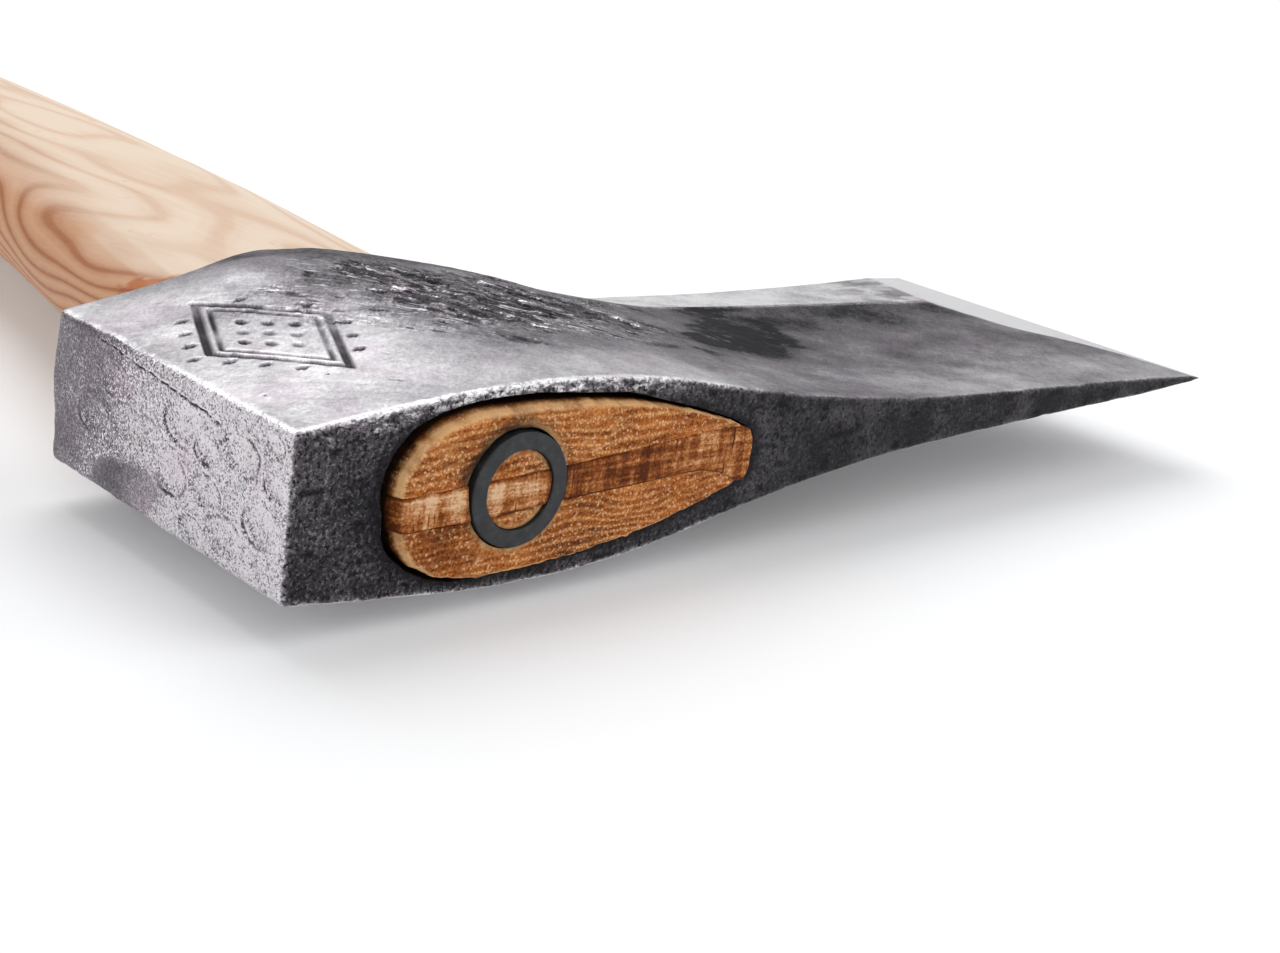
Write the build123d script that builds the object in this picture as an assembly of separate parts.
from build123d import *
import os
from math import atan2, cos, hypot, pi, sin

# Broad axe: a double-bevelled head, a curved wooden handle, a wooden kerf wedge
# and a round steel ring wedge. Millimetres.
#
# Frame: the axe lies on its cheek. +X runs from the poll to the cutting edge,
# +Y from the crown (the open end of the eye) down the handle to its grip, +Z up
# out of the upper cheek. The origin is the centre of the flat poll face, and the
# head is symmetric about Z = 0. In tables, X is measured from the poll and depth
# is measured from the crown face along +Y.

# ---------------------------------------------------------------- head
POLL_HEIGHT = 64.0112     # poll face, along Y
CROWN_Y = -POLL_HEIGHT / 2
POLL_CHAMFER = 0.88       # broken corner round the poll face
CHEEK_SPANS = 4           # spline spans from the crown rim to the crease

# Crown rim: X, half thickness.
RIM_HALF = [
    (0, 12.1264), (8.8, 13.244), (18.744, 14.2032), (28.16, 15.004), (37.488, 15.4968),
    (46.64, 15.5584), (56.188, 15.0744), (65.12, 14.08), (74.888, 12.54), (83.6, 10.868),
    (93.632, 9.1608), (102.96, 7.612), (112.376, 6.3712), (131.12, 4.6904),
    (149.864, 3.7224), (168.608, 2.9568), (187.264, 2.288), (206.008, 1.6104),
    (217.36, 0.88), (227.04, 0.44)]

# Crease: the eye's lower bulge near the poll, the beard's ridge on the blade.
# X, depth.
CREASE_DEPTH = [(0, 58.08), (79.2, 58.08), (110, 59.84), (206.8, 59.84), (227.04, 60.28)]
# X, half thickness.
CREASE_HALF = [
    (0, 12.056), (7.04, 13.464), (14.08, 14.96), (22.88, 17.072), (29.04, 18.392),
    (36.96, 18.92), (44, 18.744), (50.16, 18.128), (58.96, 16.808), (70.4, 15.136),
    (80.96, 13.2), (93.28, 10.648), (101.2, 9.064), (107.36, 7.92), (121.44, 5.72),
    (134.64, 4.752), (149.6, 4.092), (164.56, 3.476), (181.28, 2.816), (198, 2.112),
    (209.44, 1.804), (227.04, 1.672)]

# Lower rim, which becomes the beard's lower edge: X, depth, half thickness.
LOWER_RIM = [
    (0, POLL_HEIGHT, 11.88), (7.04, 64.24, 13.024), (14.08, 65.12, 14.08),
    (24.64, 66.88, 15.928), (31.68, 68.64, 17.336), (39.6, 69.872, 18.128),
    (47.52, 70.312, 17.952), (57.2, 69.872, 16.984), (66.88, 68.552, 15.752),
    (78.32, 66.616, 13.904), (88, 66, 11.528), (98.56, 67.408, 8.096),
    (110, 70.4, 5.368), (122.32, 73.48, 4.224), (137.28, 75.68, 3.256),
    (150.48, 76.736, 2.64), (166.32, 77.704, 2.2), (183.92, 78.936, 1.848),
    (202.4, 80.608, 1.584), (219.12, 82.896, 1.32), (227.04, 84.304, 1.232)]

# Hollow in the blade's cheeks; it starts at the waist, where the eye's bulge ends.
HOLLOW_DEPTH = 1.32
HOLLOW_RUN_IN = 26.4                # length over which it deepens past the waist
HOLLOW_FADE = (145.2, 209.44)       # X range over which it dies out
# Depth, X.
WAIST = [(0, 89.76), (6.16, 92.4), (15.84, 95.04), (31.68, 105.6), (43.12, 115.28),
         (56.32, 117.04), (70.4, 117.92)]

# X of the lofted sections.
SECTION_X = [
    POLL_CHAMFER, 7.04, 14.08, 21.12, 28.16, 35.2, 42.24, 50.16, 58.96, 68.64, 79.2,
    88, 96.8, 105.6, 114.4, 124.96, 137.28, 150.48, 166.32, 183.92, 202.4, 227.04]

# Cutting edge and its bevels.
EDGE_HALF = 0.1056        # half the thickness left at the edge
EDGE_X = 224.576          # edge at the depth of the crown
EDGE_LEAN = 0.0231        # X gained per Y
BEVEL_SLOPE = 0.0925      # half thickness gained per length
BEVEL_LENGTH = 70.4
BEVEL_DEPTHS = (-7.04, 91.52)       # start and end of the cutter
BEVEL_CUTTER_HALF = 52.8
BEVEL_CUTTER_AHEAD = 17.6           # cutter length beyond the edge

# ---------------------------------------------------------------- eye and handle
# Half outline of the eye at the crown: X, half width in Z.
EYE = [
    (15.752, 0), (15.84, 2.112), (16.368, 4.576), (17.952, 7.216), (20.768, 9.68),
    (24.64, 11.572), (29.04, 12.584), (33.528, 12.892), (42.416, 12.6896),
    (51.216, 11.968), (60.104, 10.912), (68.992, 9.24), (77.88, 6.952),
    (82.72, 5.456), (85.712, 4.136), (86.592, 2.64), (86.768, 0)]
EYE_SUBDIVISIONS = 12     # per segment of the outline

# Depth, centre X, half width in X, half thickness in Z,
# share of plain oval (0 = eye outline). The first two stations bound the eye.
HANDLE = [
    (-5.28, 51.216, 35.4728, 12.8568, 0.0),
    (71.28, 52.184, 35.728, 13.288, 0.35),
    (88, 55.352, 34.584, 13.288, 0.5),
    (105.6, 58.256, 33.528, 13.2, 0.68),
    (123.2, 61.072, 32.384, 13.112, 0.82),
    (145.2, 64.416, 31.24, 13.068, 0.95),
    (167.2, 67.496, 30.008, 13.024, 1.0),
    (220, 74.448, 27.104, 12.76, 1.0),
    (290.4, 82.896, 22.88, 11.792, 1.0),
    (352, 86.768, 20.064, 11.528, 1.0),
    (413.6, 86.24, 18.304, 11.528, 1.0),
    (475.2, 82.192, 17.864, 11.792, 1.0),
    (523.6, 76.56, 19.36, 12.672, 1.0),
    (558.8, 72.424, 22, 13.904, 1.0),
    (580.8, 70.576, 23.144, 14.52, 1.0),
    (593.12, 70.048, 22.704, 14.168, 1.0),
    (599.28, 69.872, 20.768, 12.32, 1.0)]
OVAL_POWER = 2.15         # superellipse power of the plain oval
HANDLE_POINTS = 40        # spline points round each section
WOOD_PROUD = 1.32         # end grain above the crown face
TENON_TRIM_DEPTH = 79.2   # lower limit of the tenon trim, below the tenon's end

# ---------------------------------------------------------------- kerf and its wedge
# Wedge outline at the crown: X, lower Z, upper Z.
WEDGE_OUTLINE = [
    (13.2, -3.872, 0.968), (29.92, -3.784, 1.672), (48.4, -2.64, 2.552),
    (63.36, -2.112, 3.608), (74.8, -1.584, 4.4), (80.08, -2.464, 4.576),
    (85.36, -4.576, 4.576), (88.88, -4.752, 4.752)]
WEDGE_TIP_HALF = 0.616    # half thickness at the thin edge
WEDGE_DEPTH = 45.76
WEDGE_PROUD = 1.584       # above the crown face
WEDGE_SPARE = 3.52        # blank above the crown face, before trimming
KERF_DEPTH = 49.28
KERF_WIDTH = 1.056        # saw kerf below the wedge
KERF_LENGTH = 96.8
KERF_X = 51.04
KERF_OVERLAP = 0.02
TRIM_X = 96.8             # centre of the trimming slabs
TRIM_LENGTH, TRIM_THICKNESS = 352, 105.6

# ---------------------------------------------------------------- ring wedge
RING_X = 38.368           # axis
RING_OUTER_R = 17.6 / 2
RING_INNER_R = 12.32 / 2
RING_TIP_R = 16.368 / 2   # bore at the driven edge
RING_LENGTH = 22
RING_PROUD = 1.76         # above the crown face
RING_STRAIGHT_BORE = 4    # from the top to the start of the bore's flare
RING_OUTER_CHAMFER = 0.5
RING_INNER_CHAMFER = 0.3


# ---------------------------------------------------------------- helpers
def curve(points):
    """Shape-keeping cubic through (x, y) points, straight beyond its ends."""
    xs, ys = zip(*points)
    last = len(xs) - 1
    steps = [xs[i + 1] - xs[i] for i in range(last)]
    slopes = [(ys[i + 1] - ys[i]) / steps[i] for i in range(last)]
    tangents = [slopes[0]] + [0.0] * (last - 1) + [slopes[-1]]
    for i in range(1, last):
        if slopes[i - 1] * slopes[i] > 0:
            before = 2 * steps[i] + steps[i - 1]
            after = steps[i] + 2 * steps[i - 1]
            tangents[i] = (before + after) / (before / slopes[i - 1] + after / slopes[i])

    def value(x):
        if x <= xs[0]:
            return ys[0] + tangents[0] * (x - xs[0])
        if x >= xs[-1]:
            return ys[-1] + tangents[-1] * (x - xs[-1])
        i = max(j for j in range(last) if xs[j] <= x)
        t = (x - xs[i]) / steps[i]
        return ((1 + 2 * t) * (1 - t) ** 2 * ys[i]
                + t * (1 - t) ** 2 * steps[i] * tangents[i]
                + t * t * (3 - 2 * t) * ys[i + 1]
                + t * t * (t - 1) * steps[i] * tangents[i + 1])
    return value


def smooth(start, end, x):
    """Smooth step from 0 at start to 1 at end."""
    t = min(1.0, max(0.0, (x - start) / (end - start)))
    return t * t * (3 - 2 * t)


def at(x, depth, z):
    return Vector(x, CROWN_Y + depth, z)


def closed_wire(points):
    return Wire(Polyline(*points, close=True).edges())


def slab(top, bottom):
    """A block wider than the handle between two depths."""
    block = Box(TRIM_LENGTH, bottom - top, TRIM_THICKNESS)
    return Pos(TRIM_X, CROWN_Y + (top + bottom) / 2, 0) * block


# ---------------------------------------------------------------- head
rim_half = curve(RIM_HALF)
crease_depth = curve(CREASE_DEPTH)
crease_half = curve(CREASE_HALF)
lower_depth = curve([(x, depth) for x, depth, _ in LOWER_RIM])
lower_half = curve([(x, half) for x, _, half in LOWER_RIM])
waist_x = curve(WAIST)


def cheek_half(x, depth):
    """Half thickness of the cheek between the crown rim and the crease."""
    v = depth / crease_depth(x)
    hollow = HOLLOW_DEPTH * smooth(0, HOLLOW_RUN_IN, x - waist_x(depth))
    hollow *= (1 - smooth(*HOLLOW_FADE, x)) * 4 * v * (1 - v)
    return rim_half(x) * (1 - v) + crease_half(x) * v - hollow


def head_section(x, inset=0.0):
    """Closed six-sided section of the head at one X."""
    crease = crease_depth(x)
    depths = [inset + (crease - inset) * i / CHEEK_SPANS for i in range(CHEEK_SPANS + 1)]
    upper = [at(x, depth, cheek_half(x, depth) - inset) for depth in depths]
    lower = [at(x, depth, inset - cheek_half(x, depth)) for depth in depths]
    end_depth = lower_depth(x) - inset
    end_half = lower_half(x) - inset
    end_upper = at(x, end_depth, end_half)
    end_lower = at(x, end_depth, -end_half)
    return Wire([
        Line(lower[0], upper[0]), Spline(*upper), Line(upper[-1], end_upper),
        Line(end_upper, end_lower), Line(end_lower, lower[-1]), Spline(*lower[::-1])])


def make_bevel_cutter():
    """Everything outside a thin wedge that ends at the cutting edge."""
    start, end = BEVEL_DEPTHS
    y = CROWN_Y + start
    edge = EDGE_X + EDGE_LEAN * start
    back = edge - BEVEL_LENGTH
    ahead = edge + BEVEL_CUTTER_AHEAD
    back_half = EDGE_HALF + BEVEL_SLOPE * BEVEL_LENGTH
    upper = [(edge, EDGE_HALF), (back, back_half),
             (back, BEVEL_CUTTER_HALF), (ahead, BEVEL_CUTTER_HALF)]
    outline = upper + [(x, -z) for x, z in reversed(upper)]
    profile = Face(closed_wire([(x, y, z) for x, z in outline]))
    return Solid.extrude(profile, Vector(EDGE_LEAN * (end - start), end - start, 0))


def make_head(eye_core):
    blank = Solid.make_loft([head_section(x) for x in SECTION_X])
    poll = [head_section(0, POLL_CHAMFER), head_section(POLL_CHAMFER)]
    blank = blank + Solid.make_loft(poll, True)
    return blank - make_bevel_cutter() - eye_core


# ---------------------------------------------------------------- eye and handle
def polar_outline(points):
    """Radius against angle of a half outline scaled to unit half width and height."""
    centre = (points[0][0] + points[-1][0]) / 2
    half_x = (points[-1][0] - points[0][0]) / 2
    half_z = max(z for _, z in points)
    dense = [points[-1]]
    for (x0, z0), (x1, z1) in zip(points, points[1:]):
        for i in range(EYE_SUBDIVISIONS):
            t = i / EYE_SUBDIVISIONS
            dense.append((x0 + (x1 - x0) * t, z0 + (z1 - z0) * t))
    scaled = [((x - centre) / half_x, z / half_z) for x, z in dense]
    table = sorted((atan2(z, x), hypot(x, z)) for x, z in scaled)

    def radius(angle):
        angle = abs(atan2(sin(angle), cos(angle)))
        for (a0, r0), (a1, r1) in zip(table, table[1:]):
            if a0 <= angle <= a1:
                return r0 + (r1 - r0) * (angle - a0) / (a1 - a0)
    return radius


eye_radius = polar_outline(EYE)


def handle_section(station):
    """Closed section of the handle, blended from the eye outline to an oval."""
    depth, centre, half_x, half_z, oval = station
    points = []
    for i in range(HANDLE_POINTS):
        angle = 2 * pi * i / HANDLE_POINTS
        c, s = cos(angle), sin(angle)
        oval_radius = (abs(c) ** OVAL_POWER + abs(s) ** OVAL_POWER) ** (-1 / OVAL_POWER)
        radius = (1 - oval) * eye_radius(angle) + oval * oval_radius
        points.append(at(centre + half_x * radius * c, depth, half_z * radius * s))
    return Wire([Spline(*points, periodic=True)])


def make_handle(eye_core, wedge_blank, ring_wedge):
    tenon = eye_core & slab(-WOOD_PROUD, TENON_TRIM_DEPTH)
    stock = tenon + Solid.make_loft([handle_section(s) for s in HANDLE[1:]])
    kerf_box = Box(KERF_LENGTH, KERF_DEPTH - WEDGE_DEPTH + KERF_OVERLAP, KERF_WIDTH)
    kerf = Pos(KERF_X, CROWN_Y + (WEDGE_DEPTH + KERF_DEPTH) / 2, 0) * kerf_box
    return stock - wedge_blank - kerf - ring_wedge


# ---------------------------------------------------------------- wedges
def make_ring_wedge():
    top = CROWN_Y - RING_PROUD
    bottom = top + RING_LENGTH
    profile = closed_wire([
        (RING_INNER_R + RING_INNER_CHAMFER, top, 0),
        (RING_OUTER_R - RING_OUTER_CHAMFER, top, 0),
        (RING_OUTER_R, top + RING_OUTER_CHAMFER, 0),
        (RING_OUTER_R, bottom, 0),
        (RING_TIP_R, bottom, 0),
        (RING_INNER_R, top + RING_STRAIGHT_BORE, 0),
        (RING_INNER_R, top + RING_INNER_CHAMFER, 0)])
    return Pos(RING_X, 0, 0) * revolve(Face(profile), Axis.Y, 360)


def wedge_section(depth):
    """Kerf wedge outline, full at the crown and thin at WEDGE_DEPTH."""
    grow = 1 - depth / WEDGE_DEPTH
    lower, upper = [], []
    for x, z0, z1 in WEDGE_OUTLINE:
        centre = (z0 + z1) / 2 * grow
        half = WEDGE_TIP_HALF + ((z1 - z0) / 2 - WEDGE_TIP_HALF) * grow
        lower.append(at(x, depth, centre - half))
        upper.append(at(x, depth, centre + half))
    return closed_wire(lower + upper[::-1])


def make_wedge_blank():
    return Solid.make_loft([wedge_section(-WEDGE_SPARE), wedge_section(WEDGE_DEPTH)], True)


def make_eye_wedge(wedge_blank, eye_core, ring_wedge):
    return (wedge_blank & eye_core & slab(-WEDGE_PROUD, WEDGE_DEPTH)) - ring_wedge


# ---------------------------------------------------------------- build and export
eye_core = Solid.make_loft([handle_section(s) for s in HANDLE[:2]], True)
wedge_blank = make_wedge_blank()
ring_wedge = make_ring_wedge()
parts = {
    "axe_head": make_head(eye_core),
    "handle": make_handle(eye_core, wedge_blank, ring_wedge),
    "eye_wedge": make_eye_wedge(wedge_blank, eye_core, ring_wedge),
    "ring_wedge": ring_wedge,
}

os.makedirs("parts", exist_ok=True)
for name, part in parts.items():
    part.label = name
    export_step(part, f"parts/{name}.step")
